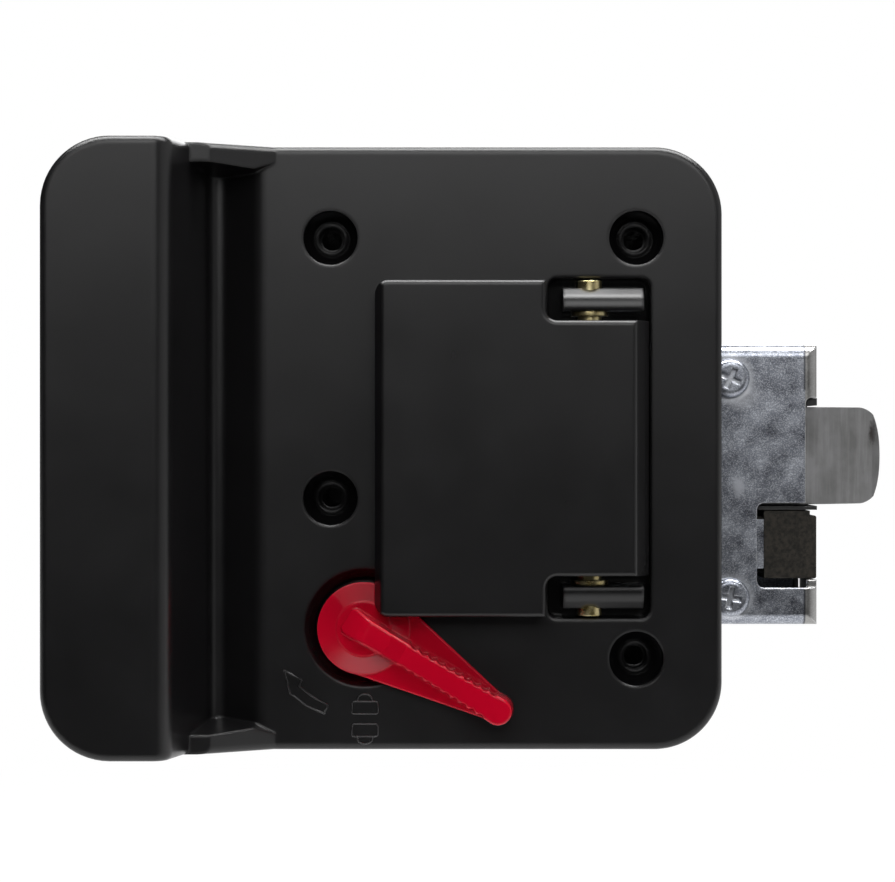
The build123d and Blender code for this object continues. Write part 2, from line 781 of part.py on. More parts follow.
def makeOuterHousing():
    shape = slabY(outerOutline(), flangeBack, flangeFace)
    rim = edgesNear(shape, lambda c, e: abs(c.Y - flangeFace) < 0.01)
    shape = fillet(rim, 1.2)
    for x, z in mountSpots():
        shape += rodY(x, z, 3.4, caseBack, flangeBack)
    for x, z in ((keyX, keyZ), (leverX, leverZ)):
        bossEnd = flangeBack - cylinderBack + 3
        shape += rodY(x, z, cylinderRadius + housingBossWall, bossEnd, flangeFace + 1.6)
    cup = roundedBox(cupLeft, cupRight, -cupHeight / 2, cupHeight / 2, 4.0)
    trayTop = cupHeight / 2 + cupWall
    tray = roundedBox(cupLeft - cupWall, cupRight + cupWall, -trayTop, trayTop, 5.0)
    shape += slabY(tray, flangeFace - cupDepth - cupWall, flangeFace - 1)
    shape -= slabY(cup, flangeFace - cupDepth, flangeFace + 1)
    half = outerHandleHeight / 2
    for z0 in (-half - 0.4 - outerLugThickness, half + 0.4):
        lug = block(hingeX - 4.4, hingeX + 4.4, flangeFace - 0.5, outerHingeY, z0, z0 + outerLugThickness)
        lug += rodZ(hingeX, outerHingeY, 4.4, z0, z0 + outerLugThickness)
        shape += lug
    shape -= block(hingeX - 8.2, hingeX + 2.6, flangeBack - 1, flangeFace + 1,
                   outerArmZ - 0.7, outerArmZ + armWidth + 0.7)
    shape -= rodZ(hingeX, outerHingeY, outerPinRadius + pinFit, -half - 8, half + 8)
    for x, z in mountSpots():
        shape -= rodY(x, z, 1.82, caseBack - 1, caseBack + 8)
    for x, z in ((keyX, keyZ), (leverX, leverZ)):
        shape -= rodY(x, z, cylinderRadius + 0.02, flangeBack - cylinderBack, flangeFace + 4)
    return shape


def makeMountPosts():
    # threaded posts that the mounting screws enter from the inside of the door
    posts = []
    for x, z in screwSpots:
        post = coneY(x, z, postRadius - 0.6, postRadius, postGap, flangeBack)
        posts.append(post - rodY(x, z, postHoleRadius, postGap - 1, postGap + postHoleDepth))
    return Compound(children=posts)


def makeOuterHandle():
    half = outerHandleHeight / 2
    face = flangeFace + outerHandleRise
    t = outerHandleThickness
    left = hingeX - outerBarrelRadius
    right = hingeX + outerBarrelRadius
    section = make_face([
        Line((outerHandleLeft, face - 1.2), (outerHandleLeft, face)),
        Line((outerHandleLeft, face), (hingeX - 3, face)),
        ThreePointArc((hingeX - 3, face), (hingeX + 3.2, face - 2.4), (right, outerHingeY)),
        Line((right, outerHingeY), (left, outerHingeY)),
        Line((left, outerHingeY), (left - 1, face - t)),
        Line((left - 1, face - t), (outerHandleLeft + 3, face - t)),
        Line((outerHandleLeft + 3, face - t), (outerHandleLeft, face - 1.2)),
    ])
    shape = slabZ(section, -half, half)
    corners = edgesNear(
        shape, lambda c, e: abs(c.X - outerHandleLeft) < 0.01 and abs(abs(c.Z) - half) < 0.01)
    shape = fillet(corners, 1.0)
    shape += rodZ(hingeX, outerHingeY, outerBarrelRadius, -half, half)
    shape += paddleArm(outerArmZ, hingeX, outerHingeY, slideY)
    shape -= rodZ(hingeX, outerHingeY, outerPinRadius + runningFit, -half - 1, half + 1)
    return shape


def makeOuterPin():
    half = outerHandleHeight / 2 + 0.4 + outerLugThickness
    return rodZ(hingeX, outerHingeY, outerPinRadius, -half, half)


def makeKeyCylinder(x, z):
    y0 = flangeBack - cylinderBack
    y1 = flangeFace + cylinderFront
    tube = rodY(x, z, cylinderRadius, y0, y1) + rodY(x, z, cylinderRadius + 1.2, flangeFace + 1.6, y1)
    front = edgesNear(tube, lambda c, e: abs(c.Y - y1) < 0.01)
    tube = fillet(front, 0.7)
    return tube - rodY(x, z, plugRadius + runningFit, y0 - 1, y1 + 1)


def makeKeyPlug(x, z, innerEnd):
    y1 = flangeFace + cylinderFront - 0.4
    plug = rodY(x, z, plugRadius, innerEnd, y1)
    rim = edgesNear(plug, lambda c, e: abs(c.Y - y1) < 0.01)
    plug = fillet(rim, 0.4)
    plug -= block(x - 0.6, x + 0.6, y1 - 8, y1 + 1, z - 3.6, z + 3.6)
    return plug


def makeHandlePlug():
    return makeKeyPlug(keyX, keyZ, camY + camThickness)


def makeDeadboltPlug():
    end = flangeBack - cylinderBack - 0.6
    plug = makeKeyPlug(leverX, leverZ, end)
    tip = crankFace + 1.0 + 0.2
    h = tailSquare / 2
    plug += block(leverX - h, leverX + h, tip, end + 1, leverZ - h, leverZ + h)
    return plug


def makeLockCam():
    # blade on the plug's inner end; it points left until the key turns it down
    hull = make_hull([
        *(Pos(keyX, keyZ) * Circle(4.6)).edges(),
        *(Pos(keyX - camLength + camWidth / 2, keyZ) * Circle(camWidth / 2)).edges()])
    cam = slabY(hull, camY, camY + camThickness)
    return cam - rodY(keyX, keyZ, 1.6, camY - 1, camY + camThickness + 1)


def makeCamScrew():
    return panScrew(keyX, keyZ, camY, 3.0, 1.8, 1.58, 2.4)


def buildAll():
    return {
        "inner_bezel": makeInnerBezel(),
        "inner_paddle": makeInnerPaddle(),
        "paddle_hinge_pins": makeHingePins(),
        "paddle_spring": makePaddleSpring(),
        "lock_lever": makeLever(),
        "lever_crank": makeCrank(),
        "lever_clip": makeLeverClip(),
        "case_side_plate": makeCaseSidePlate(),
        "case_back_plate": makeCaseBackPlate(),
        "case_insert": makeCaseInsert(),
        "case_spacers": makeSpacers(),
        "case_screws": makeCaseScrews(),
        "case_spring_stop": makeSpringStop(),
        "case_mount_screws": makeMountScrews(),
        "latch_bolt": makeLatchBolt(),
        "latch_slide": makeLatchSlide(),
        "latch_pin": makeLatchPin(),
        "latch_spring": makeLatchSpring(),
        "deadbolt": makeDeadbolt(),
        "deadbolt_link": makeDeadboltLink(),
        "deadbolt_rivets": makeDeadboltRivets(),
        "outer_housing": makeOuterHousing(),
        "mount_posts": makeMountPosts(),
        "outer_gasket": makeGasket(),
        "outer_handle": makeOuterHandle(),
        "outer_handle_pin": makeOuterPin(),
        "handle_cylinder": makeKeyCylinder(keyX, keyZ),
        "handle_key_plug": makeHandlePlug(),
        "handle_lock_cam": makeLockCam(),
        "cam_screw": makeCamScrew(),
        "deadbolt_cylinder": makeKeyCylinder(leverX, leverZ),
        "deadbolt_key_plug": makeDeadboltPlug(),
    }


os.makedirs("parts", exist_ok=True)
for name, shape in buildAll().items():
    export_step(shape, f"parts/{name}.step")
    print(name, round(shape.volume, 1))
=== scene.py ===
import json
import math

import bmesh
import bpy
import numpy as np
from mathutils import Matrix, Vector


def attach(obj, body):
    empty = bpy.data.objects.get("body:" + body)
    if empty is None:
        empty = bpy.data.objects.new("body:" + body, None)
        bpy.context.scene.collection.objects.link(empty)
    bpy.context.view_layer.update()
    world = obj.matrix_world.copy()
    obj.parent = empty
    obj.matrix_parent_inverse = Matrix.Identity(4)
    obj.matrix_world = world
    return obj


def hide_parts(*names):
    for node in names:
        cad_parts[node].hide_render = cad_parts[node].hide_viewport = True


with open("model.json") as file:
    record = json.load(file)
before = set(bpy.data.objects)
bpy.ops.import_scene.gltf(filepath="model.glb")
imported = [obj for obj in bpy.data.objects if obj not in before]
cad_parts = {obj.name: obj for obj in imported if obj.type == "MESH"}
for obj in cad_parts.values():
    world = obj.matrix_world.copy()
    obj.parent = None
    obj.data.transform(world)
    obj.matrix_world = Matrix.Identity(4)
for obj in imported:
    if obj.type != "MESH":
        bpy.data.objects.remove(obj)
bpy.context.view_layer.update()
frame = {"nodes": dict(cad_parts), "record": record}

nodes = frame["nodes"]
mm = 0.001


# small helpers for shader trees

def nodeAt(tree, kind, x, y, **settings):
    made = tree.nodes.new(kind)
    made.location = (x, y)
    for name, value in settings.items():
        setattr(made, name, value)
    return made


def setInputs(shaderNode, **values):
    for name, value in values.items():
        shaderNode.inputs[name.replace("_", " ")].default_value = value


def colour(r, g, b):
    return (r, g, b, 1.0)


def newMaterial(name):
    material = bpy.data.materials.new(name)
    material.use_nodes = True
    tree = material.node_tree
    tree.nodes.clear()
    out = nodeAt(tree, "ShaderNodeOutputMaterial", 900, 0)
    shader = nodeAt(tree, "ShaderNodeBsdfPrincipled", 600, 0)
    tree.links.new(shader.outputs["BSDF"], out.inputs["Surface"])
    return material, tree, shader


def newGroup(name, inputs, outputs):
    group = bpy.data.node_groups.new(name, "ShaderNodeTree")
    for label, kind, value in inputs:
        socket = group.interface.new_socket(name=label, in_out="INPUT", socket_type="NodeSocket" + kind)
        socket.default_value = value
    for label, kind in outputs:
        group.interface.new_socket(name=label, in_out="OUTPUT", socket_type="NodeSocket" + kind)
    entry = nodeAt(group, "NodeGroupInput", -1000, 0)
    leave = nodeAt(group, "NodeGroupOutput", 800, 0)
    return group, entry, leave


def placeGroup(tree, group, x, y, **values):
    used = nodeAt(tree, "ShaderNodeGroup", x, y, node_tree=group)
    setInputs(used, **values)
    return used


def mathNode(tree, operation, x, y, a=None, b=None, clamp=False):
    made = nodeAt(tree, "ShaderNodeMath", x, y, operation=operation, use_clamp=clamp)
    for slot, value in ((0, a), (1, b)):
        if value is None:
            continue
        if isinstance(value, (int, float)):
            made.inputs[slot].default_value = value
        else:
            tree.links.new(value, made.inputs[slot])
    return made.outputs[0]


def remap(tree, source, x, y, low, high, toLow=0.0, toHigh=1.0):
    made = nodeAt(tree, "ShaderNodeMapRange", x, y, clamp=True)
    setInputs(made, From_Min=low, From_Max=high, To_Min=toLow, To_Max=toHigh)
    tree.links.new(source, made.inputs["Value"])
    return made.outputs["Result"]


def mixColour(tree, factor, a, b, x, y):
    made = nodeAt(tree, "ShaderNodeMix", x, y, data_type="RGBA")
    tree.links.new(factor, made.inputs[0])
    for slot, value in ((6, a), (7, b)):
        if isinstance(value, tuple):
            made.inputs[slot].default_value = value
        else:
            tree.links.new(value, made.inputs[slot])
    return made.outputs[2]


def objectAxes(tree, x, y):
    # the Object coordinates, split into X, Y and Z
    place = nodeAt(tree, "ShaderNodeTexCoord", x - 200, y)
    apart = nodeAt(tree, "ShaderNodeSeparateXYZ", x, y)
    tree.links.new(place.outputs["Object"], apart.inputs["Vector"])
    return apart.outputs


def millimetres(*values):
    return tuple(value * mm for value in values)


# shader groups that several finishes share

def makeGrainGroup():
    # two noises, a fine one and a broad one, for moulded and cast skins
    group, entry, leave = newGroup(
        "surfaceGrain",
        [("Fine Scale", "Float", 2500.0), ("Broad Scale", "Float", 90.0), ("Broad Share", "Float", 0.3)],
        [("Height", "Float"), ("Broad", "Float"), ("Fine", "Float")])
    place = nodeAt(group, "ShaderNodeTexCoord", -1000, 300)
    fine = nodeAt(group, "ShaderNodeTexNoise", -600, 200)
    broad = nodeAt(group, "ShaderNodeTexNoise", -600, -200)
    setInputs(fine, Detail=3.0, Roughness=0.55)
    setInputs(broad, Detail=4.0, Roughness=0.6)
    for noise, label in ((fine, "Fine Scale"), (broad, "Broad Scale")):
        group.links.new(place.outputs["Object"], noise.inputs["Vector"])
        group.links.new(entry.outputs[label], noise.inputs["Scale"])
    share = mathNode(group, "MULTIPLY", -300, -100, broad.outputs["Fac"], entry.outputs["Broad Share"])
    total = mathNode(group, "ADD", -100, 0, fine.outputs["Fac"], share)
    group.links.new(total, leave.inputs["Height"])
    group.links.new(broad.outputs["Fac"], leave.inputs["Broad"])
    group.links.new(fine.outputs["Fac"], leave.inputs["Fine"])
    return group


# cosines of the turn between both normals at no wear and at full wear, and the noise range of its gaps
edgeShape = {"flat": 0.995, "sharp": 0.86, "gaps": (0.42, 0.62)}


def makeEdgeGroup():
    # how far the rounded normal leaves the face's own normal: 0 on flats, 1 on sharp edges
    group, entry, leave = newGroup(
        "edgeWear",
        [("Width", "Float", 0.0006), ("Amount", "Float", 1.0), ("Break Scale", "Float", 300.0)],
        [("Mask", "Float"), ("Normal", "Vector")])
    bevel = nodeAt(group, "ShaderNodeBevel", -600, 200, samples=4)
    geometry = nodeAt(group, "ShaderNodeNewGeometry", -600, 0)
    dot = nodeAt(group, "ShaderNodeVectorMath", -350, 100, operation="DOT_PRODUCT")
    place = nodeAt(group, "ShaderNodeTexCoord", -1000, -300)
    noise = nodeAt(group, "ShaderNodeTexNoise", -600, -300)
    setInputs(noise, Detail=4.0, Roughness=0.65)
    group.links.new(entry.outputs["Width"], bevel.inputs["Radius"])
    group.links.new(bevel.outputs["Normal"], dot.inputs[0])
    group.links.new(geometry.outputs["Normal"], dot.inputs[1])
    group.links.new(place.outputs["Object"], noise.inputs["Vector"])
    group.links.new(entry.outputs["Break Scale"], noise.inputs["Scale"])
    bent = remap(group, dot.outputs["Value"], -150, 100, edgeShape["flat"], edgeShape["sharp"])
    broken = remap(group, noise.outputs["Fac"], -350, -300, *edgeShape["gaps"])
    mask = mathNode(group, "MULTIPLY", 100, 0, bent, broken)
    scaled = mathNode(group, "MULTIPLY", 300, 0, mask, entry.outputs["Amount"], clamp=True)
    group.links.new(scaled, leave.inputs["Mask"])
    group.links.new(bevel.outputs["Normal"], leave.inputs["Normal"])
    return group


# noise ranges in which crystals, scratches and the patches with scratches come up, and the
# scratches' turn in degrees and their scale along each axis
fleckShape = {
    "crystal": (0.22, 0.62), "scratch": (0.70, 0.76), "patch": (0.45, 0.6),
    "turn": 38, "stretch": (160.0, 160.0, 2400.0),
}


def makeFleckGroup():
    # clouds, small crystals and a few long scratches of a plated sheet
    group, entry, leave = newGroup(
        "platingFlecks",
        [("Fleck Scale", "Float", 1500.0), ("Cloud Scale", "Float", 130.0),
         ("Scratch Share", "Float", 0.5)],
        [("Cloud", "Float"), ("Fleck", "Float"), ("Scratch", "Float")])
    place = nodeAt(group, "ShaderNodeTexCoord", -1300, 300)
    cloud = nodeAt(group, "ShaderNodeTexNoise", -800, 400)
    setInputs(cloud, Detail=5.0, Roughness=0.62)
    group.links.new(place.outputs["Object"], cloud.inputs["Vector"])
    group.links.new(entry.outputs["Cloud Scale"], cloud.inputs["Scale"])
    crystal = nodeAt(group, "ShaderNodeTexVoronoi", -800, 100)
    group.links.new(place.outputs["Object"], crystal.inputs["Vector"])
    group.links.new(entry.outputs["Fleck Scale"], crystal.inputs["Scale"])
    split = nodeAt(group, "ShaderNodeSeparateColor", -600, 100)
    group.links.new(crystal.outputs["Color"], split.inputs[0])
    grains = nodeAt(group, "ShaderNodeTexNoise", -800, -150)
    setInputs(grains, Detail=3.0, Roughness=0.7)
    group.links.new(place.outputs["Object"], grains.inputs["Vector"])
    group.links.new(entry.outputs["Fleck Scale"], grains.inputs["Scale"])
    some = mathNode(group, "MULTIPLY", -350, 0, split.outputs[0], grains.outputs["Fac"])
    fleck = remap(group, some, -150, 0, *fleckShape["crystal"])
    stretch = nodeAt(group, "ShaderNodeMapping", -1050, -400)
    stretch.inputs["Rotation"].default_value = (0.0, math.radians(fleckShape["turn"]), 0.0)
    stretch.inputs["Scale"].default_value = fleckShape["stretch"]
    group.links.new(place.outputs["Object"], stretch.inputs["Vector"])
    lines = nodeAt(group, "ShaderNodeTexNoise", -800, -400)
    setInputs(lines, Scale=1.0, Detail=2.0, Roughness=0.5)
    group.links.new(stretch.outputs["Vector"], lines.inputs["Vector"])
    thin = remap(group, lines.outputs["Fac"], -350, -300, *fleckShape["scratch"])
    patch = remap(group, cloud.outputs["Fac"], -350, -500, *fleckShape["patch"])
    scratch = mathNode(group, "MULTIPLY", -100, -350, thin, patch)
    share = mathNode(group, "MULTIPLY", 100, -350, scratch, entry.outputs["Scratch Share"])
    group.links.new(cloud.outputs["Fac"], leave.inputs["Cloud"])
    group.links.new(fleck, leave.inputs["Fleck"])
    group.links.new(share, leave.inputs["Scratch"])
    return group


def makeSpotGroup():
    # 1 inside a soft-edged stretched ball round a centre, 0 outside: the edge lies where
    # |place - centre| / reach + 2 x ragged x (noise - 0.5) goes from "Inner" to 1
    group, entry, leave = newGroup(
        "softSpot",
        [("Centre", "Vector", (0.0, 0.0, 0.0)), ("Reach", "Vector", (0.01, 0.01, 0.01)),
         ("Inner", "Float", 0.6), ("Ragged", "Float", 0.3), ("Grain", "Float", 900.0)],
        [("Mask", "Float")])
    place = nodeAt(group, "ShaderNodeTexCoord", -1300, 200)
    away = nodeAt(group, "ShaderNodeVectorMath", -1000, 200, operation="SUBTRACT")
    ratio = nodeAt(group, "ShaderNodeVectorMath", -800, 200, operation="DIVIDE")
    length = nodeAt(group, "ShaderNodeVectorMath", -600, 200, operation="LENGTH")
    noise = nodeAt(group, "ShaderNodeTexNoise", -1000, -100)
    setInputs(noise, Detail=4.0, Roughness=0.7)
    group.links.new(place.outputs["Object"], away.inputs[0])
    group.links.new(entry.outputs["Centre"], away.inputs[1])
    group.links.new(away.outputs["Vector"], ratio.inputs[0])
    group.links.new(entry.outputs["Reach"], ratio.inputs[1])
    group.links.new(ratio.outputs["Vector"], length.inputs[0])
    group.links.new(place.outputs["Object"], noise.inputs["Vector"])
    group.links.new(entry.outputs["Grain"], noise.inputs["Scale"])
    centred = mathNode(group, "SUBTRACT", -700, -100, noise.outputs["Fac"], 0.5)
    wobble = mathNode(group, "MULTIPLY", -500, -100, centred, entry.outputs["Ragged"])
    doubled = mathNode(group, "MULTIPLY", -300, -100, wobble, 2.0)
    total = mathNode(group, "ADD", -300, 100, length.outputs["Value"], doubled)
    made = nodeAt(group, "ShaderNodeMapRange", 0, 100, clamp=True, interpolation_type="SMOOTHSTEP")
    group.links.new(total, made.inputs["Value"])
    group.links.new(entry.outputs["Inner"], made.inputs["From Min"])
    setInputs(made, From_Max=1.0, To_Min=1.0, To_Max=0.0)
    group.links.new(made.outputs["Result"], leave.inputs["Mask"])
    return group


print("shader groups")
grainGroup = makeGrainGroup()
edgeGroup = makeEdgeGroup()
fleckGroup = makeFleckGroup()
spotGroup = makeSpotGroup()


def bumpFrom(tree, height, normal, strength, distance, x, y):
    bump = nodeAt(tree, "ShaderNodeBump", x, y)
    setInputs(bump, Strength=strength, Distance=distance)
    tree.links.new(height, bump.inputs["Height"])
    if normal is not None:
        tree.links.new(normal, bump.inputs["Normal"])
    return bump.outputs["Normal"]


def grainFrom(tree, look, x, y):
    return placeGroup(tree, grainGroup, x, y, Fine_Scale=look["fine"], Broad_Scale=look["broad"],
                      Broad_Share=look["share"])


def edgeFrom(tree, look, x, y):
    return placeGroup(tree, edgeGroup, x, y, Width=look["edge"] * mm, Amount=look["worn"],
                      Break_Scale=look["breaks"])


def spotFrom(tree, at, spot, x, y):
    placed = placeGroup(tree, spotGroup, x, y, Centre=millimetres(*at), Reach=millimetres(*spot["reach"]),
                        Inner=spot["inner"], Ragged=spot["ragged"], Grain=spot["grain"])
    return placed.outputs["Mask"]


def roughFrom(tree, look, noise, x, y):
    return remap(tree, noise, x, y, *look["range"], *look["rough"])


def linkFinish(tree, shader, body, rough, normal):
    tree.links.new(body, shader.inputs["Base Color"])
    tree.links.new(rough, shader.inputs["Roughness"])
    tree.links.new(normal, shader.inputs["Normal"])


# in every finish: fine, broad and breaks are noise scales per metre, edge is the worn edge's width
# in mm, bump its strength and its height in metres, range the noise values that reach both ends
mouldedGrain = {
    "fine": 2600.0, "broad": 55.0, "share": 0.25, "range": (0.2, 0.8), "worn": 0.2, "breaks": 260.0,
    "bump": (0.10, 0.00006), "rubbed": (0.045, 0.044, 0.046),
}
mouldedBlack = {
    "bezelBlack": {
        "base": (0.0030, 0.0028, 0.0031), "light": (0.0050, 0.0047, 0.0052),
        "rough": (0.27, 0.33), "edge": 0.9,
        "well": {"depth": (-8.0, -5.0), "beside": (-41.0, -40.0), "smoother": 0.55},
    },
    "paddleBlack": {
        "base": (0.0030, 0.0028, 0.0031), "light": (0.0050, 0.0047, 0.0052),
        "rough": (0.26, 0.32), "edge": 0.6,
    },
    "housingBlack": {
        "base": (0.0080, 0.0080, 0.0083), "light": (0.0120, 0.0120, 0.0123),
        "rough": (0.42, 0.52), "edge": 0.5,
    },
    "postBlack": {
        "base": (0.0020, 0.0020, 0.0022), "light": (0.0034, 0.0034, 0.0036),
        "rough": (0.12, 0.18), "edge": 0.4,
    },
    # the raised marks get a lighter base than the plate they are moulded in: a painted highlight that
    # stands in for the light catching their ridges
    "markSheenBlack": {
        "base": (0.012, 0.0115, 0.012), "light": (0.022, 0.021, 0.022),
        "rough": (0.18, 0.24), "edge": 0.1,
    },
    "insertBlack": {
        "base": (0.0060, 0.0060, 0.0063), "light": (0.0090, 0.0090, 0.0093),
        "rough": (0.45, 0.55), "edge": 0.3,
    },
}


def makeMouldedBlack(name, ownLook):
    look = {**mouldedGrain, **ownLook}
    material, tree, shader = newMaterial(name)
    grain = grainFrom(tree, look, -500, 100)
    edge = edgeFrom(tree, look, -500, -200)
    broad = remap(tree, grain.outputs["Broad"], -250, 250, *look["range"])
    body = mixColour(tree, broad, colour(*look["base"]), colour(*look["light"]), 0, 250)
    worn = mixColour(tree, edge.outputs["Mask"], body, colour(*look["rubbed"]), 200, 200)
    rough = roughFrom(tree, look, grain.outputs["Broad"], -250, 0)
    if "well" in look:
        # smoother down in the wells and the window: roughness falls with depth, right of the grip
        well = look["well"]
        axes = objectAxes(tree, -250, -400)
        deep = remap(tree, axes["Y"], -50, -400, *millimetres(*well["depth"]), 0.0, well["smoother"])
        beside = remap(tree, axes["X"], -50, -550, *millimetres(*well["beside"]))
        inWell = mathNode(tree, "MULTIPLY", 100, -450, deep, beside)
        smooth = mathNode(tree, "SUBTRACT", 250, -450, 1.0, inWell)
        rough = mathNode(tree, "MULTIPLY", 400, -300, rough, smooth)
    normal = bumpFrom(tree, grain.outputs["Height"], edge.outputs["Normal"], *look["bump"], 200, -200)
    linkFinish(tree, shader, worn, rough, normal)
    setInputs(shader, Specular_IOR_Level=0.5)
    return material


# glossy red lever: hub is its axis' x and z, ring the radii of the dished part, face the y where
# the disc's front begins, all in mm, and dish the slope
leverLook = {
    "base": (0.44, 0.0006, 0.0150), "deep": (0.36, 0.0005, 0.0120), "rubbed": (0.55, 0.03, 0.05),
    "rough": (0.14, 0.20), "range": (0.3, 0.7), "fine": 1400.0, "broad": 120.0, "share": 0.8,
    "edge": 0.5, "worn": 0.5, "breaks": 400.0, "bump": (0.06, 0.00008),
    "hub": (-23.9, -35.9), "ring": (5.7, 9.2), "dish": 0.50, "face": (-11.45, -11.65),
}


def leverDishNormal(tree, fine):
    # the ring round the boss is dished: height = slope x (radius - boss radius), on the disc's front
    place = nodeAt(tree, "ShaderNodeTexCoord", -900, -600)
    away = nodeAt(tree, "ShaderNodeVectorMath", -700, -600, operation="SUBTRACT")
    flat = nodeAt(tree, "ShaderNodeVectorMath", -500, -600, operation="MULTIPLY")
    radius = nodeAt(tree, "ShaderNodeVectorMath", -300, -600, operation="LENGTH")
    hubX, hubZ = millimetres(*leverLook["hub"])
    away.inputs[1].default_value = (hubX, 0.0, hubZ)
    flat.inputs[1].default_value = (1.0, 0.0, 1.0)
    tree.links.new(place.outputs["Object"], away.inputs[0])
    tree.links.new(away.outputs["Vector"], flat.inputs[0])
    tree.links.new(flat.outputs["Vector"], radius.inputs[0])
    inner, outer = millimetres(*leverLook["ring"])
    rise = (outer - inner) * leverLook["dish"]
    dish = remap(tree, radius.outputs["Value"], -100, -600, inner, outer, 0.0, rise)
    dished = bumpFrom(tree, dish, fine, 1.0, 1.0, 400, -400)
    onDisc = remap(tree, objectAxes(tree, -700, -800)["Y"], -100, -800, *millimetres(*leverLook["face"]))
    choose = nodeAt(tree, "ShaderNodeMix", 600, -500, data_type="VECTOR")
    tree.links.new(onDisc, choose.inputs[0])
    tree.links.new(fine, choose.inputs[4])
    tree.links.new(dished, choose.inputs[5])
    return choose.outputs[1]


def makeLeverRed():
    look = leverLook
    material, tree, shader = newMaterial("leverRed")
    grain = grainFrom(tree, look, -500, 100)
    edge = edgeFrom(tree, look, -500, -200)
    body = mixColour(tree, grain.outputs["Broad"], colour(*look["deep"]), colour(*look["base"]), 0, 250)
    worn = mixColour(tree, edge.outputs["Mask"], body, colour(*look["rubbed"]), 200, 200)
    rough = roughFrom(tree, look, grain.outputs["Broad"], -250, 0)
    fine = bumpFrom(tree, grain.outputs["Height"], edge.outputs["Normal"], *look["bump"], 200, -200)
    linkFinish(tree, shader, worn, rough, leverDishNormal(tree, fine))
    setInputs(shader, Specular_IOR_Level=0.22, Coat_Weight=0.12, Coat_Roughness=0.08)
    return material


# metals: metal is the Metallic value, rubbed the factor and the lift that make the edges brighter
metalGrain = {
    "share": 0.6, "cloud": (0.36, 0.66), "range": (0.3, 0.7), "edge": 0.4, "worn": 0.5, "breaks": 400.0,
    "rubbed": (1.25, 0.03),
}
metals = {
    "castGrey": {
        "dark": (0.150, 0.150, 0.148), "light": (0.250, 0.250, 0.254), "rough": (0.40, 0.55),
        "broad": 90.0, "fine": 1800.0, "bump": (0.2, 0.0001), "metal": 0.8,
        "patch": {
            "at": (82.7, 24.0, 3.3), "reach": (1.2, 14.0, 3.4), "inner": 0.25, "ragged": 0.55,
            "grain": 1500.0, "colour": (0.040, 0.034, 0.032),
        },
        "polish": {
            "stretch": (700.0, 700.0, 60.0), "range": (0.45, 0.75), "share": 0.45,
            "colour": (0.32, 0.32, 0.325),
        },
    },
    "deadboltBlack": {
        "dark": (0.010, 0.009, 0.007), "light": (0.034, 0.029, 0.022), "rough": (0.42, 0.58),
        "broad": 1300.0, "fine": 3000.0, "bump": (0.25, 0.0001), "metal": 0.5,
    },
    "yellowZinc": {
        "dark": (0.34, 0.26, 0.09), "light": (0.85, 0.76, 0.45), "rough": (0.22, 0.36),
        "broad": 300.0, "fine": 1500.0, "bump": (0.2, 0.0001), "metal": 1.0,
    },
    "springSteel": {
        "dark": (0.30, 0.30, 0.31), "light": (0.48, 0.48, 0.49), "rough": (0.28, 0.40),
        "broad": 150.0, "fine": 1500.0, "bump": (0.1, 0.0001), "metal": 1.0,
    },
    "brightChrome": {
        "dark": (0.55, 0.56, 0.58), "light": (0.70, 0.71, 0.73), "rough": (0.10, 0.20),
        "broad": 80.0, "fine": 900.0, "bump": (0.03, 0.0001), "metal": 1.0,
    },
    "plugBrass": {
        "dark": (0.42, 0.32, 0.14), "light": (0.62, 0.49, 0.25), "rough": (0.25, 0.40),
        "broad": 120.0, "fine": 1500.0, "bump": (0.1, 0.0001), "metal": 1.0,
    },
}


def boltWear(tree, body, patch, polish):
    # a rubbed dark patch near the bolt's tip, and soft upright streaks left by polishing
    spot = spotFrom(tree, patch["at"], patch, -250, 500)
    rubbed = mixColour(tree, spot, body, colour(*patch["colour"]), 100, 400)
    place = nodeAt(tree, "ShaderNodeTexCoord", -900, 700)
    stretch = nodeAt(tree, "ShaderNodeMapping", -700, 700)
    stretch.inputs["Scale"].default_value = polish["stretch"]
    tree.links.new(place.outputs["Object"], stretch.inputs["Vector"])
    lines = nodeAt(tree, "ShaderNodeTexNoise", -500, 700)
    setInputs(lines, Scale=1.0, Detail=3.0, Roughness=0.6)
    tree.links.new(stretch.outputs["Vector"], lines.inputs["Vector"])
    pale = remap(tree, lines.outputs["Fac"], -300, 700, *polish["range"], 0.0, polish["share"])
    return mixColour(tree, pale, rubbed, colour(*polish["colour"]), 150, 500)


def makeMetal(name, ownLook):
    look = {**metalGrain, **ownLook}
    material, tree, shader = newMaterial(name)
    grain = grainFrom(tree, look, -500, 100)
    edge = edgeFrom(tree, look, -500, -200)
    cloud = remap(tree, grain.outputs["Broad"], -250, 250, *look["cloud"])
    body = mixColour(tree, cloud, colour(*look["dark"]), colour(*look["light"]), 0, 250)
    if "patch" in look:
        body = boltWear(tree, body, look["patch"], look["polish"])
    factor, lift = look["rubbed"]
    bright = tuple(min(1.0, factor * v + lift) for v in look["light"])
    worn = mixColour(tree, edge.outputs["Mask"], body, colour(*bright), 200, 200)
    rough = roughFrom(tree, look, grain.outputs["Broad"], -250, 0)
    normal = bumpFrom(tree, grain.outputs["Height"], edge.outputs["Normal"], *look["bump"], 200, -200)
    linkFinish(tree, shader, worn, rough, normal)
    setInputs(shader, Metallic=look["metal"])
    return material


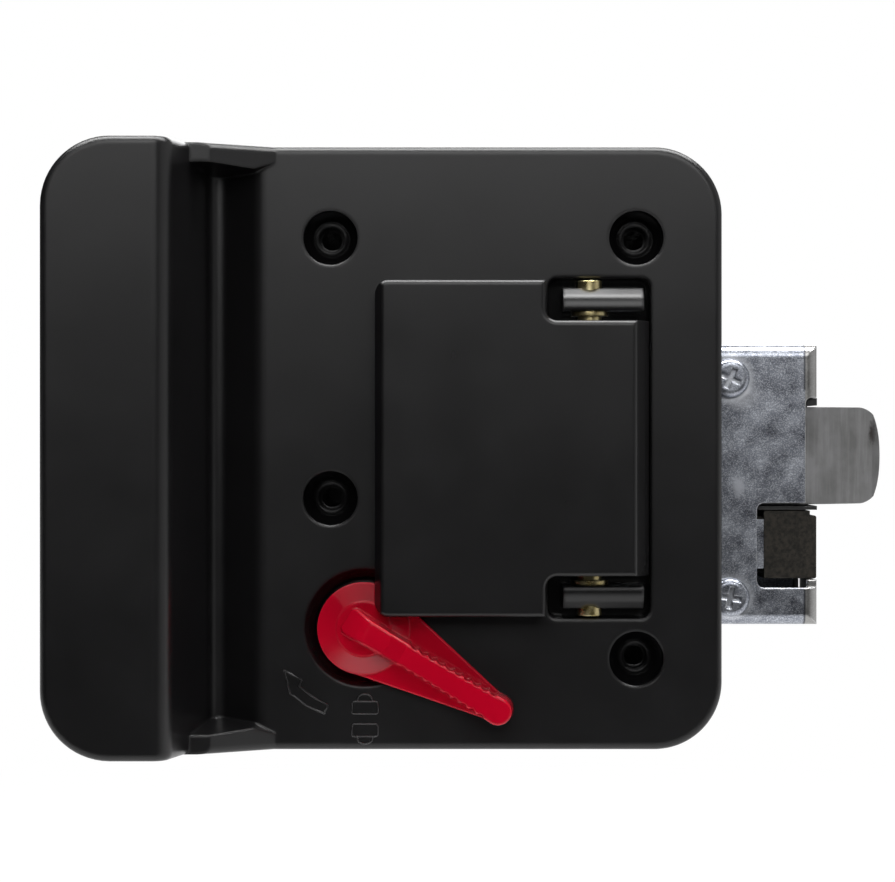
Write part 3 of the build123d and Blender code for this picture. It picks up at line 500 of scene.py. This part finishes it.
# plated sheet: places and reaches in mm, on the side plate's outer face at y 9
zincLook = {
    "dark": (0.165, 0.177, 0.215), "light": (0.37, 0.39, 0.435), "fleck": (0.74, 0.77, 0.83),
    "rubbed": (0.72, 0.73, 0.74), "rough": (0.26, 0.40), "cloud": (0.33, 0.72), "range": (0.3, 0.7),
    "fleckScale": 5600.0, "cloudScale": 210.0, "scratches": 0.5,
    "fine": 1400.0, "broad": 240.0, "share": 0.6, "edge": 0.5, "worn": 0.8, "breaks": 500.0,
    "bump": (0.16, 0.00008),
    "smear": {
        "at": (52.9, 9.0, -8.2), "reach": (1.6, 3.0, 2.8), "inner": 0.3, "ragged": 0.9,
        "grain": 900.0, "colour": (0.55, 0.57, 0.62),
    },
    "screws": ((51.1, 9.0, 14.4), (51.1, 9.0, -30.8)),
    "ring": {"reach": (5.6, 2.0, 5.6), "inner": 0.72, "ragged": 0.12, "grain": 400.0},
    # glare is a painted highlight: a pale spot beside the top screw, mixed in with the screws' pressed
    # rings
    "glare": {
        "at": (53.4, 9.0, 11.6), "reach": (5.2, 2.0, 5.2), "inner": 0.2, "ragged": 0.15, "grain": 400.0,
    },
    "pressedAndGlare": {"share": 0.6, "colour": (0.75, 0.77, 0.82)},
}
# its bent end, with a painted highlight past the bend line and a painted shade line at the crease on the
# tabs: spans in mm from the bend line's x; tabs is how far from the middle's z they begin
bendLook = {
    "line": 66.6, "drawn": (0.0, 0.15), "share": 0.75, "colour": (0.37, 0.36, 0.335),
    "shadedCrease": {
        "rise": (-0.35, -0.1), "fall": (0.05, 0.25), "middle": -8.0, "tabs": (19.8, 20.2),
        "share": 0.8, "colour": (0.05, 0.05, 0.055),
    },
}


def bendSheenAndShade(tree, body):
    # past the bend line a paler, warmer band is painted where the side light would catch the bend, a
    # painted highlight, and on the two tabs a dark line of painted shade stands where that starts
    shadedCrease = bendLook["shadedCrease"]
    axes = objectAxes(tree, -600, 600)

    def acrossBend(span, y, *ends):
        low, high = millimetres(*(bendLook["line"] + offset for offset in span))
        return remap(tree, axes["X"], -400, y, low, high, *ends)

    drawn = acrossBend(bendLook["drawn"], 600, 0.0, bendLook["share"])
    rising = acrossBend(shadedCrease["rise"], 750)
    falling = acrossBend(shadedCrease["fall"], 900, 1.0, 0.0)
    upright = mathNode(tree, "MULTIPLY", -200, 800, rising, falling)
    fromMiddle = mathNode(tree, "ADD", -500, 1050, axes["Z"], -shadedCrease["middle"] * mm)
    away = mathNode(tree, "ABSOLUTE", -400, 1050, fromMiddle)
    onTabs = remap(tree, away, -300, 1050, *millimetres(*shadedCrease["tabs"]))
    creaseShadeMask = mathNode(tree, "MULTIPLY", -100, 900, upright, onTabs)
    depth = mathNode(tree, "MULTIPLY", 0, 800, creaseShadeMask, shadedCrease["share"])
    # paler band: painted highlight on the bend; dark crease: painted shade on the tabs
    sidelitBand = mixColour(tree, drawn, body, colour(*bendLook["colour"]), 200, 450)
    return mixColour(tree, depth, sidelitBand, colour(*shadedCrease["colour"]), 250, 550)


def makeZincSteel():
    # blue-grey plating with bright crystals, a pressed ring of brighter metal round each screw, and a
    # painted highlight: a pale soft spot beside the top screw that stands in for a lamp's glare
    look = zincLook
    smear, glare, pressedAndGlare = look["smear"], look["glare"], look["pressedAndGlare"]
    material, tree, shader = newMaterial("zincSteel")
    flecks = placeGroup(tree, fleckGroup, -900, 200, Fleck_Scale=look["fleckScale"],
                        Cloud_Scale=look["cloudScale"], Scratch_Share=look["scratches"])
    grain = grainFrom(tree, look, -900, -100)
    edge = edgeFrom(tree, look, -900, -400)
    cloud = remap(tree, flecks.outputs["Cloud"], -600, 300, *look["cloud"])
    body = mixColour(tree, cloud, colour(*look["dark"]), colour(*look["light"]), -400, 300)
    speckled = mixColour(tree, flecks.outputs["Fleck"], body, colour(*look["fleck"]), -200, 300)
    smearMask = spotFrom(tree, smear["at"], smear, -600, 0)
    streaked = mathNode(tree, "MAXIMUM", -200, 50, smearMask, flecks.outputs["Scratch"])
    marked = mixColour(tree, streaked, speckled, colour(*smear["colour"]), 0, 300)
    rings = [spotFrom(tree, screw, look["ring"], -600, -200) for screw in look["screws"]]
    halo = mathNode(tree, "MAXIMUM", -300, -200, *rings)
    # painted highlight beside the top screw, added to the pressed rings and given their pale colour
    glareMask = spotFrom(tree, glare["at"], glare, -600, -400)
    bright = mathNode(tree, "ADD", -200, -300, halo, glareMask)
    soft = mathNode(tree, "MULTIPLY", -100, -200, bright, pressedAndGlare["share"])
    ringsAndGlare = mixColour(tree, soft, marked, colour(*pressedAndGlare["colour"]), 150, 250)
    worn = mixColour(tree, edge.outputs["Mask"], bendSheenAndShade(tree, ringsAndGlare), colour(*look["rubbed"]), 350, 200)
    rough = roughFrom(tree, look, flecks.outputs["Cloud"], -250, -50)
    normal = bumpFrom(tree, grain.outputs["Height"], edge.outputs["Normal"], *look["bump"], 350, -200)
    linkFinish(tree, shader, worn, rough, normal)
    setInputs(shader, Metallic=1.0)
    return material


gasketLook = {
    "dark": (0.010, 0.010, 0.011), "light": (0.030, 0.030, 0.031), "rough": (0.75, 0.9),
    "range": (0.3, 0.7), "fine": 1800.0, "broad": 200.0, "share": 0.5, "bump": (0.5, 0.0002),
}


def makeGasketRubber():
    look = gasketLook
    material, tree, shader = newMaterial("gasketRubber")
    grain = grainFrom(tree, look, -500, 100)
    body = mixColour(tree, grain.outputs["Fine"], colour(*look["dark"]), colour(*look["light"]), 0, 250)
    rough = roughFrom(tree, look, grain.outputs["Broad"], -250, 0)
    normal = bumpFrom(tree, grain.outputs["Height"], None, *look["bump"], 200, -200)
    linkFinish(tree, shader, body, rough, normal)
    return material


print("finishes")
finishes = {name: makeMouldedBlack(name, look) for name, look in mouldedBlack.items()}
finishes.update({name: makeMetal(name, look) for name, look in metals.items()})
finishes["leverRed"] = makeLeverRed()
finishes["zincSteel"] = makeZincSteel()
finishes["gasketRubber"] = makeGasketRubber()

finishOfSlot = {
    "bezel_black": "bezelBlack", "paddle_black": "paddleBlack", "lever_red": "leverRed",
    "yellow_zinc": "yellowZinc", "spring_steel": "springSteel", "zinc_steel": "zincSteel",
    "insert_black": "insertBlack", "cast_grey": "castGrey", "deadbolt_black": "deadboltBlack",
    "housing_black": "housingBlack", "gasket_rubber": "gasketRubber", "chrome_trim": "brightChrome",
    "plug_brass": "plugBrass",
}
finishOfNode = {"mount_posts": "postBlack"}  # nodes that differ from their slot's finish
slotOfNode = {row["node"]: row["material_slot"] for row in frame["record"]["subparts"]}
for name, piece in nodes.items():
    piece.data.materials.clear()
    finish = finishOfNode.get(name, finishOfSlot[slotOfNode[name]])
    piece.data.materials.append(finishes[finish])


# raised marks on the plate below the groove, in mm: an arrow and two small padlock signs;
# under and low are shares of the rise and of the bow's radius
plateMarks = {
    "level": -9.0, "width": 0.5, "rise": 0.36, "under": 0.3, "sides": 12,
    "arrow": [(-39.9, -44.4), (-36.3, -46.4), (-36.9, -47.6), (-34.2, -49.7), (-31.1, -51.4),
              (-31.9, -53.1), (-35.4, -51.5), (-37.9, -49.5), (-38.6, -49.2)],
    "lockSign": {"at": (-23.7, -51.9), "up": 1.0},
    "openLockSign": {"at": (-23.7, -56.4), "up": -1.0},
    "padlock": {"half": (2.6, 1.25), "corner": 0.5, "bow": 1.5, "low": 0.75, "leg": 0.35, "foot": 0.05},
}


def ridgeTube(path, closed):
    # a low ridge along a flat path: at angle a round the path the surface lies
    # cos(a) x half the width to the side and max(sin(a), -under) x the rise off the plate,
    # and corners are widened by 1 / cos(half the turn), at most twice
    look = plateMarks
    path = np.asarray(path, dtype=float)
    ahead = np.roll(path, -1, axis=0) - path
    behind = path - np.roll(path, 1, axis=0)
    if not closed:
        ahead[-1] = behind[-1]
        behind[0] = ahead[0]
    ahead /= np.linalg.norm(ahead, axis=1, keepdims=True)
    behind /= np.linalg.norm(behind, axis=1, keepdims=True)
    along = ahead + behind
    along /= np.linalg.norm(along, axis=1, keepdims=True)
    stretch = 1.0 / np.clip(np.sum(along * ahead, axis=1), 0.5, 1.0)
    side = np.stack([-along[:, 1], along[:, 0]], axis=1) * stretch[:, None]
    angles = np.linspace(0.0, 2.0 * np.pi, look["sides"], endpoint=False)
    across = np.cos(angles) * look["width"] / 2
    height = np.maximum(np.sin(angles), -look["under"]) * look["rise"]
    x = path[:, None, 0] + side[:, None, 0] * across[None, :]
    z = path[:, None, 1] + side[:, None, 1] * across[None, :]
    y = np.broadcast_to(look["level"] - height, x.shape)
    points = np.stack([x, y, z], axis=-1).reshape(-1, 3) * mm
    rows, columns = len(path), len(angles)
    i = np.arange(rows if closed else rows - 1)[:, None]
    j = np.arange(columns)[None, :]
    nextRow, nextColumn = (i + 1) % rows, (j + 1) % columns
    quads = [i * columns + j, nextRow * columns + j,
             nextRow * columns + nextColumn, i * columns + nextColumn]
    faces = np.stack(quads, axis=-1).reshape(-1, 4).tolist()
    if not closed:
        faces.append(list(range(columns)))
        faces.append(list(range((rows - 1) * columns, rows * columns))[::-1])
    return points, faces


def padlockPaths(at, up):
    # a body outline with rounded corners, and a flattened half circle on two short legs over it:
    # height = half the body + leg + low x bow x sin(angle)
    look = plateMarks["padlock"]
    w, h = look["half"]
    r, s = look["corner"], look["bow"]
    corners = [(w - r, h - r, 0), (-w + r, h - r, 90), (-w + r, -h + r, 180), (w - r, -h + r, 270)]
    body = []
    for cx, cz, first in corners:
        turn = np.radians(np.linspace(first, first + 90, 5))
        body.append(np.stack([cx + r * np.cos(turn), cz + r * np.sin(turn)], axis=1))
    body = np.concatenate(body)
    arc = np.radians(np.linspace(0, 180, 13))
    bow = np.stack([s * np.cos(arc), h + look["leg"] + s * look["low"] * np.sin(arc)], axis=1)
    foot = h + look["foot"]
    bow = np.concatenate([[(s, foot)], bow, [(-s, foot)]])
    return [(body * [1, up] + at, True), (bow * [1, up] + at, False)]


def newPiece(name, parts, material, body):
    points, faces = [], []
    for somePoints, someFaces in parts:
        start = sum(len(block) for block in points)
        points.append(somePoints)
        faces += [[start + k for k in face] for face in someFaces]
    mesh = bpy.data.meshes.new(name)
    mesh.from_pydata(np.concatenate(points).tolist(), [], faces)
    mesh.materials.append(finishes[material])
    shell = bmesh.new()
    shell.from_mesh(mesh)
    bmesh.ops.recalc_face_normals(shell, faces=shell.faces)
    shell.to_mesh(mesh)
    shell.free()
    mesh.polygons.foreach_set("use_smooth", np.ones(len(mesh.polygons), dtype=bool))
    piece = bpy.data.objects.new(name, mesh)
    bpy.context.scene.collection.objects.link(piece)
    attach(piece, body)


def makePlateMarks():
    look = plateMarks
    # the marks' finish paints a highlight on them with its lighter base
    newPiece("lockArrow", [ridgeTube(look["arrow"], True)], "markSheenBlack", "frame")
    for name in ("lockSign", "openLockSign"):
        paths = padlockPaths(look[name]["at"], look[name]["up"])
        newPiece(name, [ridgeTube(path, closed) for path, closed in paths],
                 "markSheenBlack", "frame")


print("raised marks")
makePlateMarks()


# latch bolt with the fuller, rounder nose, in mm; weld is in metres, sharpAngle in degrees
boltShape = {
    "node": "latch_bolt", "from": 69.0, "nose": 82.1, "longer": 2.25,
    "middle": -1.7, "half": 8.0, "crown": 0.6, "weld": 1e-7, "sharpAngle": 32,
}


def makeBoltHead():
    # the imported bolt's own surface, drawn out: past "from" each x grows in proportion up to "longer"
    # at the nose, less crown x |height from the middle / half| cubed, so that the end is rounded
    look = boltShape
    source = nodes[look["node"]]
    mesh = source.data.copy()
    mesh.name = "boltHead"
    shell = bmesh.new()
    shell.from_mesh(mesh)
    bmesh.ops.remove_doubles(shell, verts=shell.verts, dist=look["weld"])
    shell.to_mesh(mesh)
    shell.free()
    points = np.empty(len(mesh.vertices) * 3)
    mesh.vertices.foreach_get("co", points)
    points = points.reshape(-1, 3) / mm
    share = np.clip((points[:, 0] - look["from"]) / (look["nose"] - look["from"]), 0.0, 1.0)
    drop = look["crown"] * np.abs((points[:, 2] - look["middle"]) / look["half"]) ** 3
    points[:, 0] += share * (look["longer"] - drop)
    mesh.vertices.foreach_set("co", (points * mm).ravel())
    mesh.update()
    mesh.set_sharp_from_angle(angle=math.radians(look["sharpAngle"]))
    piece = bpy.data.objects.new("boltHead", mesh)
    bpy.context.scene.collection.objects.link(piece)
    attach(piece, "latch")
    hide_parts(look["node"])


print("bolt")
makeBoltHead()


# the camera stands "distance" in front of the plate; lens and sensor are in mm
cameraView = {
    "x": -7.18 * mm, "z": 1.44 * mm, "plate": -9.0 * mm, "distance": 560.0 * mm, "near": 10.0 * mm,
    "lens": 112.6, "sensor": 36.0,
}


def makeCamera():
    data = bpy.data.cameras.new("photoCamera")
    data.sensor_fit = "HORIZONTAL"
    data.sensor_width = cameraView["sensor"]
    data.lens = cameraView["lens"]
    data.clip_start = cameraView["near"]
    camera = bpy.data.objects.new("photoCamera", data)
    bpy.context.scene.collection.objects.link(camera)
    camera.location = (cameraView["x"], cameraView["plate"] - cameraView["distance"], cameraView["z"])
    camera.rotation_euler = (math.radians(90), 0, 0)
    bpy.context.scene.camera = camera


# floor in metres: to the camera it is "share" white near the object and all white past "clean"
floorLook = {"half": 3.0, "front": -0.14, "z": -0.115, "tone": 0.82, "share": 0.93, "clean": (0.16, 0.45)}


def makeFloor():
    half, front, z = floorLook["half"], floorLook["front"], floorLook["z"]
    mesh = bpy.data.meshes.new("studioFloor")
    corners = [(-half, front, z), (half, front, z), (half, half, z), (-half, half, z)]
    mesh.from_pydata(corners, [], [(0, 1, 2, 3)])
    floor = bpy.data.objects.new("studioFloor", mesh)
    bpy.context.scene.collection.objects.link(floor)
    material, tree, shader = newMaterial("paleFloor")
    tone = floorLook["tone"]
    setInputs(shader, Base_Color=colour(tone, tone, tone), Roughness=0.8)
    path = nodeAt(tree, "ShaderNodeLightPath", 0, 300)
    glow = nodeAt(tree, "ShaderNodeEmission", 600, -400)
    setInputs(glow, Color=colour(1, 1, 1), Strength=1.0)
    seen = mathNode(tree, "MAXIMUM", 200, 300,
                    path.outputs["Is Camera Ray"], path.outputs["Is Glossy Ray"])
    place = nodeAt(tree, "ShaderNodeTexCoord", -400, 0)
    away = nodeAt(tree, "ShaderNodeVectorMath", -200, 0, operation="LENGTH")
    tree.links.new(place.outputs["Object"], away.inputs[0])
    clean = remap(tree, away.outputs["Value"], 0, 0, *floorLook["clean"], floorLook["share"], 1.0)
    share = mathNode(tree, "MULTIPLY", 400, 300, seen, clean)
    mix = nodeAt(tree, "ShaderNodeMixShader", 800, 200)
    tree.links.new(share, mix.inputs[0])
    tree.links.new(shader.outputs["BSDF"], mix.inputs[1])
    tree.links.new(glow.outputs["Emission"], mix.inputs[2])
    tree.links.new(mix.outputs[0], tree.nodes["Material Output"].inputs["Surface"])
    mesh.materials.append(material)


# the studio is pale at the right of the object, where a direction's x passes "turn", else dark
worldLight = {"fill": 0.03, "wall": 0.55, "turn": (0.55, 0.85)}


def makeWorld():
    world = bpy.data.worlds.new("studioWorld")
    bpy.context.scene.world = world
    world.use_nodes = True
    tree = world.node_tree
    tree.nodes.clear()
    out = nodeAt(tree, "ShaderNodeOutputWorld", 400, 0)
    soft = nodeAt(tree, "ShaderNodeBackground", 0, 0)
    white = nodeAt(tree, "ShaderNodeBackground", 0, -200)
    setInputs(soft, Color=colour(1, 1, 1))
    place = nodeAt(tree, "ShaderNodeTexCoord", -800, 0)
    apart = nodeAt(tree, "ShaderNodeSeparateXYZ", -600, 0)
    tree.links.new(place.outputs["Generated"], apart.inputs["Vector"])
    level = remap(tree, apart.outputs["X"], -400, 0, *worldLight["turn"],
                  worldLight["fill"], worldLight["wall"])
    tree.links.new(level, soft.inputs["Strength"])
    setInputs(white, Color=colour(1, 1, 1), Strength=1.0)
    path = nodeAt(tree, "ShaderNodeLightPath", -200, 300)
    mix = nodeAt(tree, "ShaderNodeMixShader", 200, 0)
    tree.links.new(path.outputs["Is Camera Ray"], mix.inputs[0])
    tree.links.new(soft.outputs[0], mix.inputs[1])
    tree.links.new(white.outputs[0], mix.inputs[2])
    tree.links.new(mix.outputs[0], out.inputs["Surface"])


# softboxes: place, point aimed at, width and height in metres
lamps = {
    "frontSoftbox": {"at": (0.0, -1.0, 0.44), "aim": (0.0, 0.0, 0.0), "size": (0.9, 0.5), "watts": 4.0},
    "highSoftbox": {"at": (0.0, -0.9, 0.62), "aim": (0.0, 0.0, 0.0), "size": (0.9, 0.5), "watts": 1.5},
    "overhead": {"at": (0.0, -0.03, 0.6), "aim": (0.0, 0.0, 0.0), "size": (0.9, 0.3), "watts": 12.0},
    "outside": {"at": (0.2, 1.1, 0.6), "aim": (0.0, 0.02, 0.0), "size": (0.9, 0.6), "watts": 6.0},
}


def makeLamps():
    for name, lamp in lamps.items():
        data = bpy.data.lights.new(name, "AREA")
        data.shape = "RECTANGLE"
        data.size, data.size_y = lamp["size"]
        data.energy = lamp["watts"]
        piece = bpy.data.objects.new(name, data)
        bpy.context.scene.collection.objects.link(piece)
        piece.location = lamp["at"]
        aim = Vector(lamp["aim"]) - Vector(lamp["at"])
        piece.rotation_euler = aim.to_track_quat("-Z", "Y").to_euler()


print("studio")
makeCamera()
makeFloor()
makeWorld()
makeLamps()
bpy.context.scene.view_settings.view_transform = "Standard"
